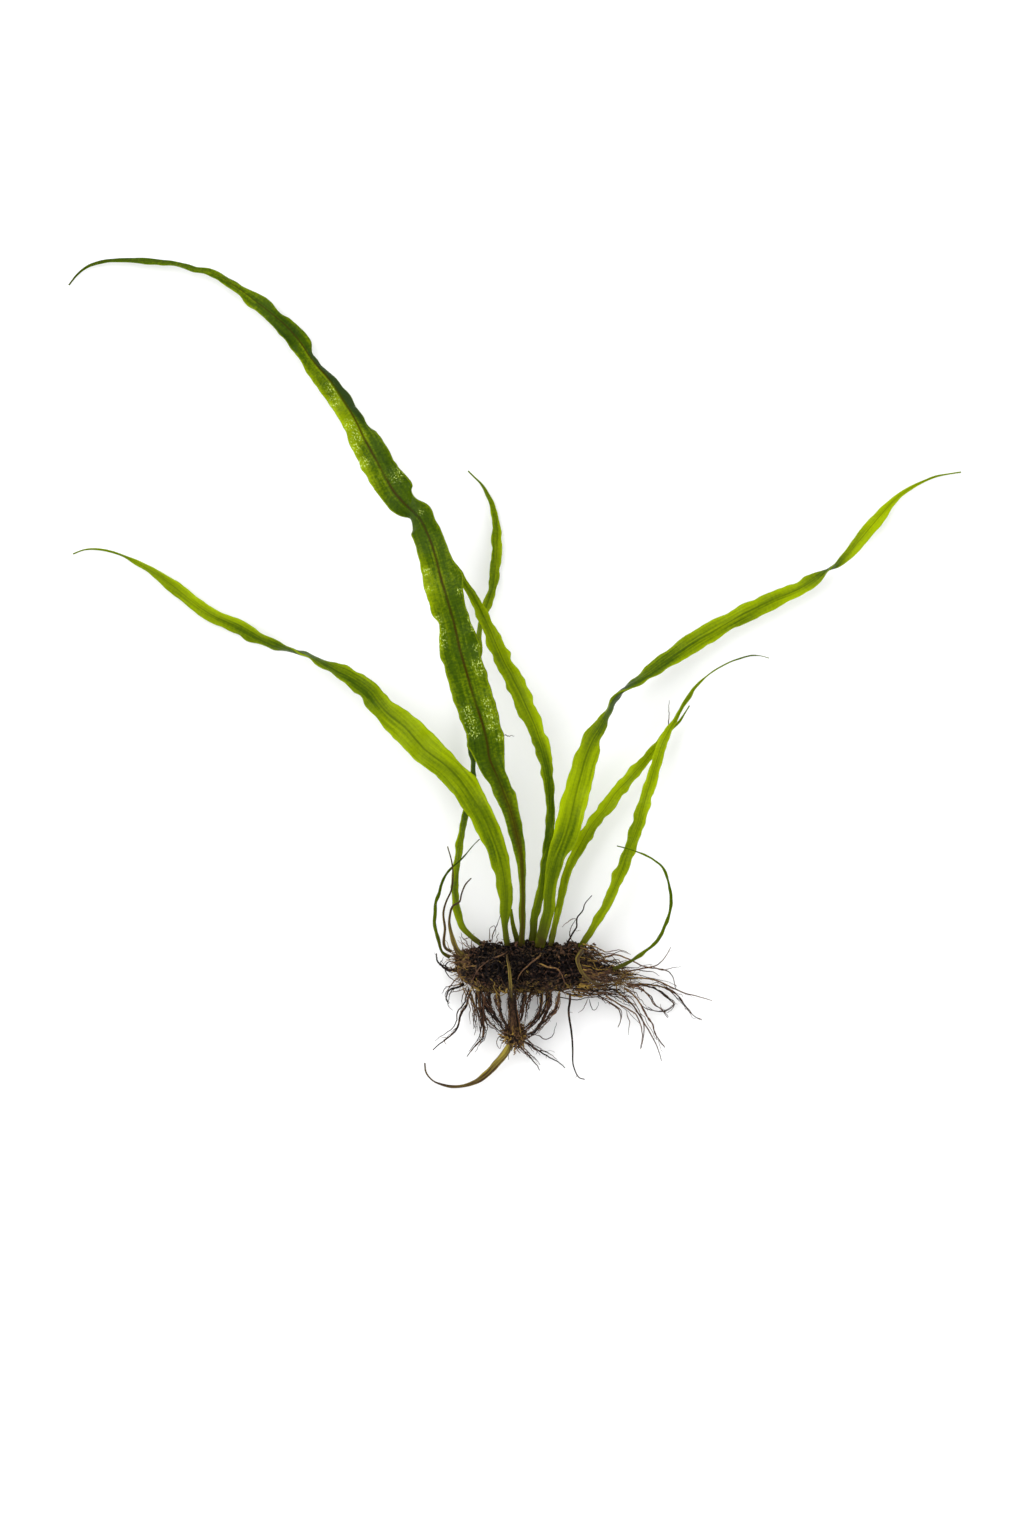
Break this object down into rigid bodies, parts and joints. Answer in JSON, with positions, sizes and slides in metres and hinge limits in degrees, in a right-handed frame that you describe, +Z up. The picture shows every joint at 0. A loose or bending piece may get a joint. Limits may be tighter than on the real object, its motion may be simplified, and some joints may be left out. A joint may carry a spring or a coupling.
{
  "type": "java fern plant",
  "caption": "Bare-root java fern lying on its side: long narrow ruffled leaves fan out from a creeping rhizome matted with dark fine roots.",
  "frame": {"origin": "middle of the flattened underside of the rhizome, on the surface that the plant lies on", "axes": "+Z up from the surface, +Y up the plant from the roots to the leaves, +X to the right of the side that it shows"},
  "size_m": [0.2366, 0.2199, 0.027],
  "materials": {
    "leaf_dark": "wet glossy dark green blade with a brown midrib, lighter where light comes through",
    "leaf_bright": "thin bright yellow-green blade that lets light through, with darker veins",
    "leaf_old": "old brownish green stalk or blade",
    "root_dark": "dense felt of dark brown to black fine roots",
    "root_brown": "loose brown wiry root"
  },
  "bodies": {
    "root": {"rhizome": "root_dark", "rhizome_branch": "leaf_bright", "leaf_tall": "leaf_dark", "leaf_left": "leaf_bright", "leaf_back": "leaf_dark", "leaf_middle": "leaf_bright", "leaf_right": "leaf_bright", "leaf_right_narrow": "leaf_bright", "leaf_right_slim": "leaf_bright", "leaf_curl_right": "leaf_dark", "leaf_outer_left": "leaf_dark", "leaf_bud_left": "leaf_bright", "leaf_bud_right": "leaf_bright", "stem_brown_outer": "leaf_old", "stem_brown_inner": "leaf_old", "plantlet_stem": "leaf_old", "plantlet_leaf": "leaf_old", "plantlet_knot": "root_brown", "root_right_1": "root_brown", "root_right_2": "root_brown", "root_right_3": "root_brown", "root_right_4": "root_brown", "root_right_5": "root_brown", "root_right_6": "root_brown", "root_right_7": "root_brown", "root_right_8": "root_brown", "root_right_9": "root_brown", "root_right_10": "root_brown", "root_long": "root_brown", "root_left_1": "root_brown", "root_left_2": "root_brown", "root_left_3": "root_brown", "root_strand_1": "root_brown", "root_strand_2": "root_brown", "root_strand_3": "root_brown", "root_strand_4": "root_brown", "root_strand_5": "root_brown", "root_strand_6": "root_brown", "root_strand_7": "root_brown", "root_below_1": "root_brown", "root_below_2": "root_brown", "root_top": "root_brown"}
  },
  "joints": []
}
